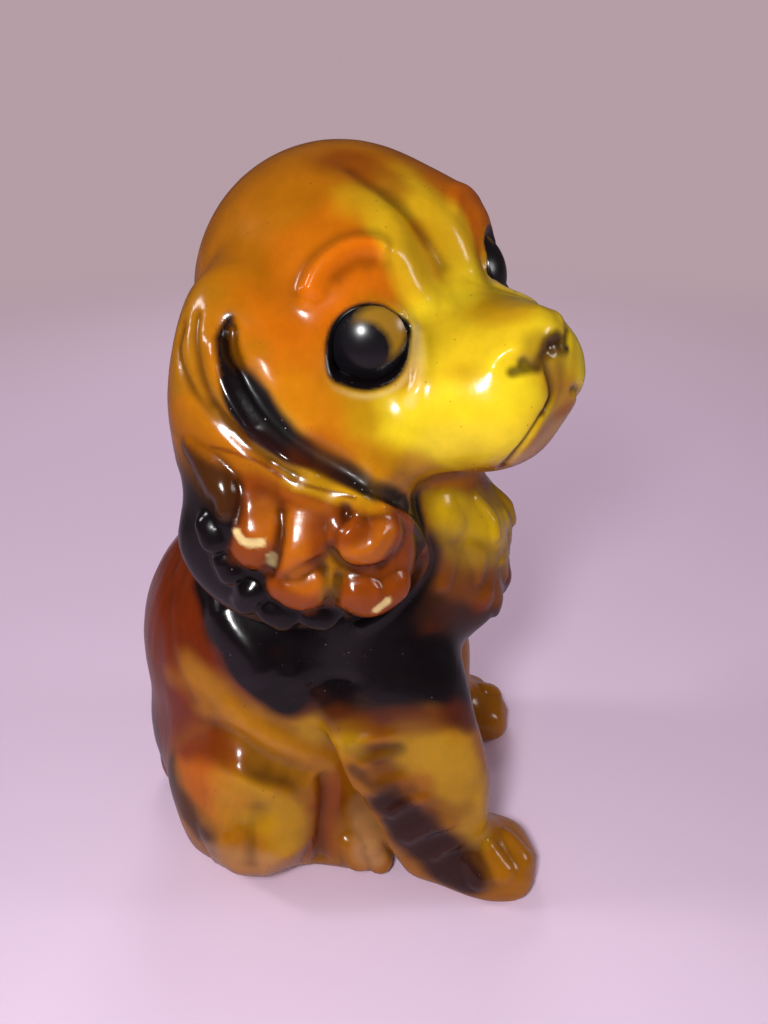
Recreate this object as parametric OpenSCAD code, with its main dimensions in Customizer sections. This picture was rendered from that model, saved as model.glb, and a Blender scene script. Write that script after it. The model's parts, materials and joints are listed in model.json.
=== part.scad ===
// Seated spaniel puppy, a slip-cast ceramic ornament.
// The puppy is sculpted whole in clay, as the modeller of such a figure does, and then cut at the mould
// joints into a hollow torso, a hollow head turned to the puppy's right, two ear flaps, four legs and a tail.
// Two eye beads are let into the head.
// Frame: X to the puppy's left, Y to its rear, Z up, origin in the middle of the base.

/* [Torso] */
// Width of the torso across the flanks
torso_w = 60; // [48:1:75]
// Length of the torso from chest to rump
torso_l = 84; // [66:1:104]
// Height of the neck joint above the base, on the middle axis
neck_h = 99; // [80:1:120]
// Slope of the neck joint, down towards the chest
neck_slope = 19; // [8:1:28]

/* [Head] */
// Width of the skull over the temples
head_w = 58; // [46:1:70]
// Length of the skull from brow to nape
head_l = 58; // [46:1:70]
// Height of the skull from jaw to crown
head_h = 58; // [46:1:70]
// Length of the muzzle in front of the brow
muzzle_l = 22; // [17:1:27]
// Turn of the head to the puppy's right
head_turn = 45; // [20:1:60]
// Lift of the muzzle
head_lift = 9; // [0:1:20]
// Tilt of the head, right ear down
head_tilt = 14; // [0:1:20]

/* [Eyes] */
// Diameter of an eye bead
eye_d = 13; // [10:0.5:16]
// Distance of an eye from the middle of the face
eye_x = 15.5; // [13:0.5:18]
// Thickness of an eye bead
eye_t = 4; // [3:0.25:5]
// Height of an eye bead's dome
eye_dome = 2.75; // [2:0.25:3]
// Clearance round an eye bead in its socket
eye_gap = 0.15; // [0.1:0.05:0.3]

/* [Ears] */
// Length of an ear flap below the neck joint
ear_drop = 30; // [24:1:36]
// Width of an ear flap
ear_w = 41; // [33:1:49]
// Thickness of an ear flap
ear_t = 16; // [13:0.5:19]
// Swing of the left ear to the front, which follows the turn of the head
ear_swing = 25; // [10:1:35]

/* [Legs] */
// Height of a foreleg from sole to shoulder
foreleg_h = 64; // [53:1:76]
// Width of a foreleg, across the puppy
foreleg_w = 20; // [16:0.5:24]
// Length of a forepaw
forepaw_l = 24; // [19:0.5:29]
// Height of a thigh above the base
thigh_h = 44; // [37:1:53]
// Length of a thigh
thigh_l = 40; // [33:1:48]
// Length of a hind paw
hindpaw_l = 22; // [18:0.5:27]

/* [Tail] */
// Thickness of the tail
tail_d = 15; // [12:0.5:18]

/* [Casting] */
// Wall of the hollow castings
wall = 5; // [4:0.5:6]
// Diameter of the vent hole in the base
vent_d = 12; // [9:0.5:15]

/* [Hidden] */
$fn = 48;

// Length over which two lumps of clay run together
blend = 1.8;
// Extra clay past a joint, which the joint's own cut takes off
spare = 4;
// Steps of the search for the surface along a ray, and its reach
search_steps = 13;
search_reach = 120;
// The two sides of the puppy
right = -1;
left = 1;

// Vectors and turns
function unit(v) = v / norm(v);
function sum(v) = v * [for (x = v) 1];
function middle(points) = [for (k = [0:2]) sum([for (p = points) p[k]]) / len(points)];
function transpose(m) = [for (i = [0:2]) [for (j = [0:2]) m[j][i]]];
function stretch(v, by) = [v.x * by.x, v.y * by.y, v.z * by.z];
function turn_x(a) = [[1, 0, 0], [0, cos(a), -sin(a)], [0, sin(a), cos(a)]];
function turn_y(a) = [[cos(a), 0, sin(a)], [0, 1, 0], [-sin(a), 0, cos(a)]];
function turn_z(a) = [[cos(a), -sin(a), 0], [sin(a), cos(a), 0], [0, 0, 1]];
unturned = turn_z(0);

// A lump of clay: an ellipsoid, with its middle, its three half-lengths and its turn
function lump(c, r, t = unturned) = [c, [for (i = [0:2]) transpose(t)[i] / r[i]], sum(r) / 3];
// A press of the thumb of that depth, and a groove of that width and depth through points
function press(c, r, deep, t = unturned) = let (l = lump(c, r, t)) [l[0], l[1], deep];
function groove(points, w, deep) = [points, w, deep];
function off_stretch(p, a, b) =
    let (t = (p - a) * (b - a) / ((b - a) * (b - a)))
    norm(p - a - max(0, min(1, t)) * (b - a));
function off_line(p, pts) = min([for (i = [0:len(pts) - 2]) off_stretch(p, pts[i], pts[i + 1])]);

// Distance of a point outside the clay, whose lumps run together and carry presses and grooves
function outside(p, clay) =
    let (melt = [for (l = clay[0]) exp((1 - norm(l[1] * (p - l[0]))) * l[2] / blend)],
         dents = [for (d = clay[1]) let (q = d[1] * (p - d[0])) d[2] * exp(-q * q)],
         lines = [for (g = clay[2]) let (q = off_line(p, g[0]) / g[1]) g[2] * exp(-q * q)])
    -blend * ln(sum(melt)) + sum(concat([0], dents, lines));

// A plane is its outward normal and its distance from the origin
function plane(n, at) = [unit(n), unit(n) * at];
function moved(s, out) = [s[0], s[1] + out];
function opposite(s) = [-s[0], -s[1]];
function reach_to(s, c, d) = s[0] * d > 0.0001 ? (s[1] - s[0] * c) / (s[0] * d) : search_reach;
function on_plane_x(s, y, z, out) = (s[1] + out - s[0].y * y - s[0].z * z) / s[0].x;
function frame_on(axis) = let (x = unit(cross([0, 0.3, 1], axis))) [x, cross(axis, x), axis];
module beyond(s) {
    f = transpose(frame_on(s[0]));
    o = s[0] * s[1];
    multmatrix([for (i = [0:2]) [f[i].x, f[i].y, f[i].z, o[i]]])
        translate([-search_reach, -search_reach, 0])
            cube([2 * search_reach, 2 * search_reach, search_reach]);
}

// Point on a ray where the clay is that deep, or where the ray meets one of the cuts
function search(clay, deep, c, d, lo, hi, n) =
    n == 0 ? (lo + hi) / 2
    : let (m = (lo + hi) / 2)
      outside(c + m * d, clay) < -deep ? search(clay, deep, c, d, m, hi, n - 1)
                                       : search(clay, deep, c, d, lo, m, n - 1);
function skin(clay, deep, c, d, cuts) =
    let (far = min(concat([search_reach], [for (s = cuts) max(0, reach_to(s, c, d))])))
    c + d * (outside(c + far * d, clay) < -deep ? far : search(clay, deep, c, d, 0, far, search_steps));
// A slice of the clay round a middle, in the plane of two directions
function slice(clay, deep, c, ax, ay, segs, cuts) =
    [for (i = [0:segs - 1]) skin(clay, deep, c, ax * cos(360 * i / segs) + ay * sin(360 * i / segs), cuts)];

// Triangles between rings of the same count, from a ring to a point, and between a rim and its lining
function band(a, b, n) = [for (i = [0:n - 1]) let (j = (i + 1) % n)
                          each [[a + i, b + i, b + j], [a + i, b + j, a + j]]];
function fan(tip, a, n) = [for (i = [0:n - 1]) [tip, a + i, a + (i + 1) % n]];
function turned(faces) = [for (f = faces) [f[2], f[1], f[0]]];
function flat(lists) = [for (l = lists) each l];
function bands(a, rings, n) = flat([for (j = [0:rings - 2]) band(a + j * n, a + (j + 1) * n, n)]);
function lip(a, b, n) = [for (i = [0:n / 2 - 1]) let (j = (i + 1) % (n / 2))
    each [[a + 2 * i, b + i, a + 2 * i + 1], [a + 2 * i + 1, b + i, b + j],
          [a + 2 * i + 1, b + j, a + (2 * i + 2) % n]]];

// A solid casting through rings, and a hollow one whose lining has half as many points to a ring
module solid_casting(rings, start, end) {
    n = len(rings[0]);
    points = concat(flat(rings), [start, end]);
    faces = concat(fan(len(points) - 2, 0, n), bands(0, len(rings), n),
                   turned(fan(len(points) - 1, (len(rings) - 1) * n, n)));
    polyhedron(points, turned(faces));
}
module hollow_casting(rings, end, lining, lining_end) {
    n = len(rings[0]);
    m = n / 2;
    first = len(rings) * n;
    points = concat(flat(rings), flat(lining), [end, lining_end]);
    faces = concat(bands(0, len(rings), n), turned(fan(len(points) - 2, first - n, n)),
                   turned(bands(first, len(lining), m)),
                   fan(len(points) - 1, first + (len(lining) - 1) * m, m), turned(lip(0, first, n)));
    polyhedron(points, turned(faces));
}

// Places on the torso, on a leg and on an ear, in the millimetres of the puppy at its own sizes
torso_scale = [torso_w / 60, torso_l / 84, neck_h / 99];
foreleg_scale = [foreleg_w / 20, torso_l / 84, foreleg_h / 64];
thigh_scale = [torso_w / 60, thigh_l / 40, thigh_h / 44];
ear_scale = [ear_t / 16, ear_w / 41, ear_drop / 30];
function torso_at(v) = stretch(v, torso_scale);
function torso_lump(v, r) = lump(torso_at(v), stretch(r, torso_scale));
function foreleg_at(s, v) = [torso_at([24, 0, 0]).x, 0, 0] * s + stretch([v.x * s, v.y, v.z], foreleg_scale);
function foreleg_lump(s, v, r, lean = 0) = lump(foreleg_at(s, v), stretch(r, foreleg_scale), turn_x(lean));
function thigh_at(s, v) = [0, torso_at([0, 17, 0]).y, 0] + stretch([v.x * s, v.y, v.z], thigh_scale);
function thigh_lump(s, v, r) = lump(thigh_at(s, v), stretch(r, thigh_scale));
function ear_turn(s) = turn_z(s == left ? -ear_swing : 180);
function ear_base(s) = ear_turn(s) * [torso_at([22, 0, 0]).x, s == left ? 0 : -4, 0] + [0, 0, neck_h];
function ear_at(s, v) = ear_base(s) + ear_turn(s) * stretch([v.x, v.y * s, v.z], ear_scale);
function ear_lump(s, v, r) = lump(ear_at(s, v), stretch(r, ear_scale), ear_turn(s));

// Places on the head, which is sculpted facing the front and then turned on the neck
head_scale = [head_w / 58, head_l / 58, head_h / 58];
head_mid = [3, -4.5, neck_h + 21];
head_turns = turn_z(-head_turn) * turn_x(-head_lift) * turn_y(-head_tilt);
brow_y = -21;
function face(v) = v.y > brow_y ? v : [v.x, brow_y + (v.y - brow_y) * muzzle_l / 22, v.z];
function head_at(v) = head_mid + head_turns * stretch(face(v), head_scale);
function head_lump(v, r) = lump(head_at(v), stretch(r, head_scale), head_turns);
function head_press(v, r, deep) = press(head_at(v), stretch(r, head_scale), deep, head_turns);
function head_groove(points, w, deep) = groove([for (p = points) head_at(p)], w, deep);

// Joint planes, with normals out of the torso
ground = plane([0, 0, -1], [0, 0, 0]);
neck_joint = plane([0, -sin(neck_slope), cos(neck_slope)], [0, 0, neck_h]);
function foreleg_joint(s) = plane([s, -0.35, -0.3], torso_at([16 * s, -14, 28]));
function thigh_joint(s) = plane([s, 0, -0.35], torso_at([19 * s, 14, 24]));
function ear_joint(s) = plane(ear_turn(s) * [1, 0, 0.22], ear_base(s) - [0, 0, 12]);
tail_joint = plane([0.5, 0.8, -0.6], torso_at([15, 33, 10]));
leg_split = plane([0, -1, 0.42], torso_at([0, -14, 5]));
torso_joints = concat([for (s = [right, left]) each [foreleg_joint(s), thigh_joint(s), ear_joint(s)]],
                      [tail_joint]);

// Torso: chest, neck, back, rump, seat, the web between the forelegs and the ruff with its curls
neck_lumps = [torso_lump([0, 5, 92], [23, 23, 20]),
              torso_lump([0, -10, 85], [24, 20, 15]),
              torso_lump([0, 10, 78], [22, 20, 17])];
torso_lumps = concat(neck_lumps,
    [torso_lump([0, -9, 64], [25, 22, 25]),
     torso_lump([0, 15, 48], [27, 29, 33]),
     torso_lump([0, 16, 26], [26, 29, 27]),
     torso_lump([0, 12, 6], [22, 27, 14]),
     torso_lump([0, -16, 22], [16, 12, 34]),
     torso_lump([0, -24, 70], [15, 9, 15])],
    [for (row = [0:2], i = [-1:1])
        torso_lump([9 * i + 4 * (row % 2), -31 + 3 * abs(i), 78 - 8 * row], [5, 6, 5.5])]);

// Foreleg: upper arm, shaft, feathering down its rear edge, paw and three toes
toes = [-1, 0, 1];
function foreleg_lumps(s) = concat(
    [foreleg_lump(s, [-3, -13, 46], [9, 14, 18]),
     foreleg_lump(s, [0, -22, 28], [9, 10, 24], -9),
     foreleg_lump(s, [1, -6 - forepaw_l, 5.5], [9, forepaw_l * 0.42, 7.5])],
    [for (i = [0:4]) foreleg_lump(s, [1, -4 - 3.5 * i, 40 - 8 * i], [7, 6, 6.5])],
    [for (t = toes)
        foreleg_lump(s, [1 + 6.3 * t, -11.5 - forepaw_l - 2 * cos(60 * t), 3.5], [3.4, 6.5, 5.5])]);

// Hind leg: thigh, hock, the tufts along the haunch, and a paw with three toes
function thigh_lumps(s) = concat(
    [thigh_lump(s, [19, 0, 23], [11, 20, 21]),
     thigh_lump(s, [17, -15, 8], [9, hindpaw_l * 0.55, 8])],
    [for (i = [-1:1]) thigh_lump(s, [18 - abs(i), 3 + 8 * i, 8], [9, 7, 9])],
    [for (t = toes) thigh_lump(s, [18 + 6 * t, -hindpaw_l - 2 * cos(60 * t), 3.5], [3.4, 6.5, 5.5])]);

// Tail: curled round the left side of the rump
tail_lumps = [for (i = [0:3]) let (a = 75 - 13 * i)
              lump(torso_at([42 * cos(a) - 5, 41 * sin(a) + 1, 6.5]), [1, 1, 1] * (tail_d / 2 - 0.3 * i))];

// Ear: the flap, its rows of curls with the scalloped border, and the band that rises to its root on the head
function ear_lumps(s) = let (lean = s == right ? 8 : -7) concat(
    [ear_lump(s, [5, 1, 0], [7, 19, 14]),
     ear_lump(s, [6, 0, -12], [7, 18, 13]),
     ear_lump(s, [0, lean, 11], [13, 15, 18]),
     ear_lump(s, [1, 1, 3], [12, 19, 14]),
     ear_lump(s, [-3, 1.5 * lean, 20], [9, 9, 14])],
    [for (i = [0:2]) ear_lump(s, [13, 11 - 10.5 * i, -4], [5.5, 5.2, 7])],
    [for (i = [0:1]) ear_lump(s, [13, 3 - 12 * i, -16], [5.5, 5.8, 5.2])],
    [for (i = [0:7]) let (a = 190 + 20 * i)
        ear_lump(s, [7, 1 - 17 * cos(a), -8 + 16 * sin(a)], [6, 5.5, 5.5])]);

// Head: skull, mask, muzzle, chin, nape and nose, then brows, eye mounds, cheeks and lips to each side
head_lumps = concat(
    [head_lump([0, 3, 3], [28, 28, 28]),
     head_lump([0, -10, -4], [22, 17, 19]),
     head_lump([0, -27, -9], [12, 15, 11]),
     head_lump([0, -26.5, -22.5], [10, 12, 6.5]),
     head_lump([0, 4, -18], [24, 22, 20]),
     head_lump([0, -39.5, -4], [6, 4.5, 5])],
    [for (x = [-1, 1]) each
        [head_lump([12 * x, -12, 9], [11, 10, 10]),
         head_lump([15 * x, -14, 3], [9, 9, 10]),
         head_lump([14 * x, -10, -15], [12, 15, 12]),
         head_lump([10 * x, -20, -12], [11, 14, 12]),
         head_lump([6.5 * x, -31, -13.5], [9.5, 12, 10.5])]]);
head_presses = concat(
    [head_press([0, -26, 6], [10, 9, 6], 1.5)],
    [for (x = [-1, 1]) head_press([eye_x * x, -23, 3], [7, 7, 7], 2)]);
ear_front = [[5, 10, 24], [7, 8, 13], [9, 0, 7], [9, -8, 2], [6, -18, -4]];
head_grooves = [head_groove([[0, -8, 31], [0, -20, 20], [0, -27, 8]], 3.2, 2.4),
                groove([for (p = ear_front) ear_at(right, p)], 3, 3.5)];

// Clay of each piece: its own lumps with those it runs into, so that neighbours meet without a step
torso_clay = [concat(torso_lumps, foreleg_lumps(right), foreleg_lumps(left),
                     thigh_lumps(right), thigh_lumps(left)), [], []];
head_clay = [concat(head_lumps, neck_lumps, ear_lumps(right), ear_lumps(left)), head_presses, head_grooves];
function foreleg_clay(s) = [concat(torso_lumps, foreleg_lumps(s)), [], []];
function thigh_clay(s) = [concat(torso_lumps, thigh_lumps(s)), [], []];
function ear_clay(s) = [concat(neck_lumps, ear_lumps(s)), [], []];
tail_clay = [concat(torso_lumps, tail_lumps), [], []];

// Rings of the head, from its rim on the neck joint to the crown, with the rays drawn together over the
// face and towards the rim
face_share = 20;
rim_share = 1.25;
face_side = 90 + head_turn;
function head_rings(deep, segs, steps) =
    let (c = head_at([0, -15, -10]),
         n = neck_joint[0],
         f = frame_on(n),
         foot = c + n * (neck_joint[1] - n * c),
         turns = [for (i = [0:segs - 1]) 360 * i / segs - face_share * sin(360 * i / segs - face_side)],
         sides = [for (a = turns) f[0] * cos(a) - f[1] * sin(a)],
         rim = [for (d = sides) skin(head_clay, deep, foot, d, [])],
         start = [for (i = [0:segs - 1]) atan2((rim[i] - c) * sides[i], (rim[i] - c) * n)])
    concat([rim], [for (j = [1:steps - 1]) [for (i = [0:segs - 1])
        let (a = start[i] * (1 - pow(j / steps, rim_share)))
        skin(head_clay, deep, c, n * cos(a) + sides[i] * sin(a), [opposite(neck_joint)])]]);
function crown(deep) = skin(head_clay, deep, head_at([0, -15, -10]), neck_joint[0], []);

// Eye: a domed bead let into a round socket, which is square to the face at the eye
eye_toe = 40;
eye_z = 1.8;
eye_sunk = 2.5;
function eye_axis(s) = head_turns * unit([s * sin(eye_toe), -cos(eye_toe), 0.1]);
function eye_inside(s) = head_at([eye_x * s, brow_y + 2, eye_z]) - eye_d * eye_axis(s);
function eye_back(s) = skin(head_clay, 0, eye_inside(s), eye_axis(s), []) - eye_sunk * eye_axis(s);
module on_eye(s) {
    f = transpose(frame_on(eye_axis(s)));
    o = eye_back(s);
    multmatrix([for (i = [0:2]) [f[i].x, f[i].y, f[i].z, o[i]]])
        children();
}

module head() color("goldenrod")
    difference() {
        hollow_casting(head_rings(0, 64, 33), crown(0), head_rings(wall, 32, 8), crown(wall));
        for (s = [right, left])
            on_eye(s)
                cylinder(d = eye_d + 2 * eye_gap, h = 3 * eye_t);
    }

// Rings of the torso, from the neck joint down to the ground or to the inner floor
function torso_rings(deep, segs, steps, floor_z, cuts) =
    [for (j = [0:steps])
        let (t = 1 - j / steps,
             a = neck_slope * t,
             c = [0, torso_at([0, 8, 0]).y * (1 - t), floor_z + (neck_h - floor_z) * t])
        slice(torso_clay, deep, c, [1, 0, 0], [0, cos(a), sin(a)], segs, cuts)];
module body() color("saddlebrown")
    difference() {
        rings = torso_rings(0, 56, 28, 0, [for (s = torso_joints) moved(s, spare)]);
        lining = torso_rings(wall, 28, 9, wall, [for (s = torso_joints) moved(s, -wall)]);
        hollow_casting(rings, middle(rings[len(rings) - 1]), lining, middle(lining[len(lining) - 1]));
        for (s = torso_joints)
            beyond(s);
        translate([0, torso_at([0, 12, 0]).y, -1])
            cylinder(d = vent_d, h = wall + 2);
    }

// Level rings of a limb, closer together at its lower end, whose middles lie off its joint by an amount that
// changes with the height
paw_share = 1.2;
function limb_rings(clay, joint, bottom, top, steps, segs, y_at, out_at, cuts) =
    [for (j = [0:steps])
        let (z = bottom + (top - bottom) * pow(1 - j / steps, paw_share),
             y = lookup(z, y_at),
             c = [on_plane_x(joint, y, z, lookup(z, out_at)), y, z])
        slice(clay, 0, c, [1, 0, 0], [0, 1, 0], segs, concat([moved(opposite(joint), spare)], cuts))];

module foreleg(s)
    difference() {
        joint = foreleg_joint(s);
        top = foreleg_h + 4;
        steps = 17;
        y_at = [[0, torso_at([0, -29, 0]).y], [20, torso_at([0, -22, 0]).y], [top, torso_at([0, -12, 0]).y]];
        rings = limb_rings(foreleg_clay(s), joint, 0, top, steps, 28, y_at,
                           [[0, 12], [30, 9], [top, -2]], [moved(opposite(leg_split), spare)]);
        solid_casting(rings, middle(rings[0]), middle(rings[steps]));
        beyond(opposite(joint));
        beyond(opposite(leg_split));
    }

module hind_leg(s)
    difference() {
        joint = thigh_joint(s);
        top = thigh_h + 8;
        steps = 14;
        y_at = [[0, thigh_at(s, [0, -6, 0]).y], [top, thigh_at(s, [0, -1, 0]).y]];
        rings = limb_rings(thigh_clay(s), joint, 0, top, steps, 28, y_at,
                           [[0, 10], [top * 0.6, 6], [top, -3]],
                           concat([moved(leg_split, spare)], s == left ? [moved(tail_joint, spare)] : []));
        solid_casting(rings, middle(rings[0]), middle(rings[steps]));
        beyond(opposite(joint));
        beyond(leg_split);
        if (s == left)
            beyond(tail_joint);
    }

module ear(s)
    difference() {
        joint = ear_joint(s);
        clay = ear_clay(s);
        tip = skin(clay, 0, ear_at(s, [8, 0, -14]), [0, 0, -1], []);
        high = ear_at(s, [0, 0, 12]).z;
        rings = limb_rings(clay, joint, tip.z + 1, high, 15, 28, [[0, tip.y]], [[tip.z, 6], [high, 7]], []);
        solid_casting(rings, middle(rings[0]), tip);
        beyond(opposite(joint));
        beyond(neck_joint);
    }

module tail() color("maroon")
    difference() {
        steps = 6;
        foot = torso_at([19, 39, 0]);
        top = skin(tail_clay, 0, foot, [0, 0, 1], []);
        rings = [for (j = [0:steps])
                 slice(tail_clay, 0, foot + [0, 0, (top.z - 1) * (1 - j / steps)], [1, 0, 0], [0, 1, 0], 20,
                       [moved(opposite(tail_joint), spare)])];
        solid_casting(rings, top, foot);
        beyond(opposite(tail_joint));
    }

module right_ear() color("sienna") ear(right);
module left_ear() color("sienna") ear(left);
module right_foreleg() color("peru") foreleg(right);
module left_foreleg() color("peru") foreleg(left);
module right_hind_leg() color("darkgoldenrod") hind_leg(right);
module left_hind_leg() color("darkgoldenrod") hind_leg(left);
module eye(s)
    on_eye(s)
        intersection() {
            dome_r = (pow(eye_d / 2, 2) + pow(eye_dome, 2)) / (2 * eye_dome);
            cylinder(d = eye_d, h = eye_t);
            translate([0, 0, eye_t - dome_r])
                sphere(r = dome_r);
        }
module right_eye() color("black") eye(right);
module left_eye() color("black") eye(left);

head();
body();
right_ear();
left_ear();
right_foreleg();
left_foreleg();
right_hind_leg();
left_hind_leg();
tail();
right_eye();
left_eye();
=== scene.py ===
import json
import math

import bpy
import numpy as np
from mathutils import Matrix, Vector
from mathutils.bvhtree import BVHTree
from mathutils.kdtree import KDTree

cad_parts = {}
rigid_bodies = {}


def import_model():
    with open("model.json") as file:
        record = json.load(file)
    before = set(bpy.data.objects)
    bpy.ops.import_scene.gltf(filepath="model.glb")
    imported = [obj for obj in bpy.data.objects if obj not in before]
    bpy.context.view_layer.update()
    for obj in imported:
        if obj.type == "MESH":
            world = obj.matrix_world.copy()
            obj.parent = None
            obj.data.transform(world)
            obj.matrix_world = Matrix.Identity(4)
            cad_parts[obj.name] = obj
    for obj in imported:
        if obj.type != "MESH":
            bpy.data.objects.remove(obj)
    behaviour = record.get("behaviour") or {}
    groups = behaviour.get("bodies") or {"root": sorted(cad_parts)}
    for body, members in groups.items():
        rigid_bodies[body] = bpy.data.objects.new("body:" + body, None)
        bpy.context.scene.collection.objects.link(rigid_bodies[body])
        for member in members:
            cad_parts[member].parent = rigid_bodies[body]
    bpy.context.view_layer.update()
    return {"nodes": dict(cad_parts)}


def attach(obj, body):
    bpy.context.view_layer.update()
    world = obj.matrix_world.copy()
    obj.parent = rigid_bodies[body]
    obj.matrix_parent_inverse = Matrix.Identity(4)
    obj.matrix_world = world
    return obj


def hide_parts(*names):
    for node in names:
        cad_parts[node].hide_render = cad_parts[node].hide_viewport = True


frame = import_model()


# Stage: a plain pale floor that fades into the background, and one small lamp beside the camera, as a flash is.
# Three soft boxes keep the shadows open. The far one only fills, and the glaze shows no image of it.
class Wire:
    def __init__(self, tree, socket=None):
        self.tree = tree
        self.socket = socket

    def node(self, kind, settings=None, output=0, **values):
        made = self.tree.nodes.new(kind)
        for name, value in (settings or {}).items():
            setattr(made, name, value)
        for name, value in values.items():
            socket = made.inputs[int(name[1:])] if name[0] == "_" else made.inputs[name]
            if isinstance(value, Wire):
                self.tree.links.new(value.socket, socket)
            else:
                socket.default_value = value
        return Wire(self.tree, made.outputs[output])

    def maths(self, operation, first, second):
        return self.node("ShaderNodeMath", {"operation": operation}, _0=first, _1=second)

    def __add__(self, other):
        return self.maths("ADD", self, other)

    def __radd__(self, other):
        return self.maths("ADD", other, self)

    def __sub__(self, other):
        return self.maths("SUBTRACT", self, other)

    def __rsub__(self, other):
        return self.maths("SUBTRACT", other, self)

    def __mul__(self, other):
        return self.maths("MULTIPLY", self, other)

    def __rmul__(self, other):
        return self.maths("MULTIPLY", other, self)

    def __lt__(self, other):
        return self.maths("LESS_THAN", self, other)

    def into(self, shader, name):
        self.tree.links.new(self.socket, shader.inputs[name])


BACKGROUND = (0.46, 0.34, 0.38, 1)
FADE_FROM, FADE_TO = 0.2, 0.75
bpy.ops.object.select_all(action="DESELECT")
bpy.ops.mesh.primitive_plane_add(size=8, location=(0, 0, 0))
floor = bpy.context.object
floor.name = "floor"
cloth = bpy.data.materials.new("floor_cloth")
cloth.use_nodes = True
cloth_shader = cloth.node_tree.nodes["Principled BSDF"]
cloth_shader.inputs["Base Color"].default_value = (0.90, 0.71, 0.92, 1)
cloth_shader.inputs["Roughness"].default_value = 0.85
wire = Wire(cloth.node_tree)
sight = wire.node("ShaderNodeLightPath", output="Is Camera Ray")
mirrored = wire.node("ShaderNodeLightPath", output="Is Glossy Ray")
far_glow = wire.node("ShaderNodeEmission", Color=BACKGROUND, Strength=sight + 0.25 * mirrored)
distance = wire.node("ShaderNodeVectorMath", {"operation": "LENGTH"}, output="Value",
                     _0=wire.node("ShaderNodeTexCoord", output="Object"))
fade = wire.node("ShaderNodeMapRange", {"interpolation_type": "SMOOTHSTEP"}, Value=distance,
                 _1=FADE_FROM, _2=FADE_TO)
near_cloth = Wire(cloth.node_tree, cloth_shader.outputs[0])
spread = wire.node("ShaderNodeMixShader", _0=fade + 0.6 * mirrored, _1=near_cloth, _2=far_glow)
spread.into(cloth.node_tree.nodes["Material Output"], "Surface")
floor.data.materials.append(cloth)

room = bpy.data.worlds.new("room")
bpy.context.scene.world = room
room.use_nodes = True
wire = Wire(room.node_tree)
backing = room.node_tree.nodes["Background"]
backing.inputs["Color"].default_value = BACKGROUND
sight = wire.node("ShaderNodeLightPath", output="Is Camera Ray")
mirrored = wire.node("ShaderNodeLightPath", output="Is Glossy Ray")
(0.4 + 0.6 * sight - 0.3 * mirrored).into(backing, "Strength")
bpy.context.scene.view_settings.view_transform = "Standard"

PITCH = math.radians(26.5)
FOCAL_PX = 855
PICTURE = (768, 1024)
SENSOR = 36
ahead = Vector((math.cos(PITCH), 0, -math.sin(PITCH)))
upward = Vector((math.sin(PITCH), 0, math.cos(PITCH)))
rightward = Vector((0, -1, 0))
lens_place = Vector((-0.162, -0.0097, 0.159))
camera_data = bpy.data.cameras.new("camera")
camera_data.sensor_fit = "VERTICAL"
camera_data.sensor_height = SENSOR
camera_data.lens = SENSOR * FOCAL_PX / PICTURE[1]
camera_data.clip_start = 0.01
camera = bpy.data.objects.new("camera", camera_data)
bpy.context.collection.objects.link(camera)
camera.matrix_world = Matrix((
    (rightward.x, upward.x, -ahead.x, lens_place.x),
    (rightward.y, upward.y, -ahead.y, lens_place.y),
    (rightward.z, upward.z, -ahead.z, lens_place.z),
    (0, 0, 0, 1)))
bpy.context.scene.camera = camera


AIM = Vector((0, 0, 0.07))


def soft_box(name, place, size, watts):
    data = bpy.data.lights.new(name, "AREA")
    data.shape = "DISK"
    data.size = size
    data.energy = watts
    lamp = bpy.data.objects.new(name, data)
    bpy.context.collection.objects.link(lamp)
    lamp.location = place
    lamp.rotation_euler = (AIM - Vector(place)).to_track_quat("-Z", "Y").to_euler()
    return lamp


soft_box("camera_lamp", (-0.20, 0.03, 0.205), 0.045, 0.44)
soft_box("window_box", (0.0, 0.65, 0.5), 0.16, 1.2)
far_box = soft_box("far_box", (0.6, 0.05, 0.42), 0.3, 1.1)
far_box.visible_glossy = False
soft_box("front_box", (-0.05, -0.7, 0.35), 0.2, 0.8)


# Clay model: the sculptor's whole figure, from which the moulds of the castings are taken.
# It starts as the CAD castings stuck together, with the vent stopped, and is rubbed smooth.
# All modelling and spraying is done on it, so that folds and colours run on across the joints.
def only(*objects):
    bpy.ops.object.select_all(action="DESELECT")
    for one in objects:
        one.hide_set(False)
        one.select_set(True)
    bpy.context.view_layer.objects.active = objects[0]


def modified(one, kind, **settings):
    only(one)
    bpy.ops.object.modifier_add(type=kind)
    modifier = one.modifiers[-1]
    for name, value in settings.items():
        setattr(modifier, name, value)
    bpy.ops.object.modifier_apply(modifier=modifier.name)


MM = 0.001
GRAIN = 1.0
VENT_Y, VENT_R = 12, 7
only(*frame["nodes"].values())
bpy.ops.object.duplicate()
copies = list(bpy.context.selected_objects)
only(*copies)
bpy.ops.object.parent_clear(type="CLEAR_KEEP_TRANSFORM")
bpy.ops.mesh.primitive_cylinder_add(vertices=32, radius=(VENT_R + 1) * MM, depth=4 * MM,
                                    location=(0, VENT_Y * MM, 2.1 * MM))
copies.append(bpy.context.object)
only(*copies)
bpy.ops.object.join()
model = bpy.context.object
model.data.materials.clear()
bpy.ops.object.mode_set(mode="EDIT")
bpy.ops.mesh.select_all(action="SELECT")
bpy.ops.mesh.remove_doubles(threshold=1e-6)
bpy.ops.object.mode_set(mode="OBJECT")
modified(model, "REMESH", mode="VOXEL", voxel_size=GRAIN * MM)
only(model)
bpy.ops.mesh.separate(type="LOOSE")
shells = sorted(bpy.context.selected_objects, key=lambda one: len(one.data.vertices))
model = shells.pop()
model.name = "model"
for shell in shells:
    bpy.data.objects.remove(shell)


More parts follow.
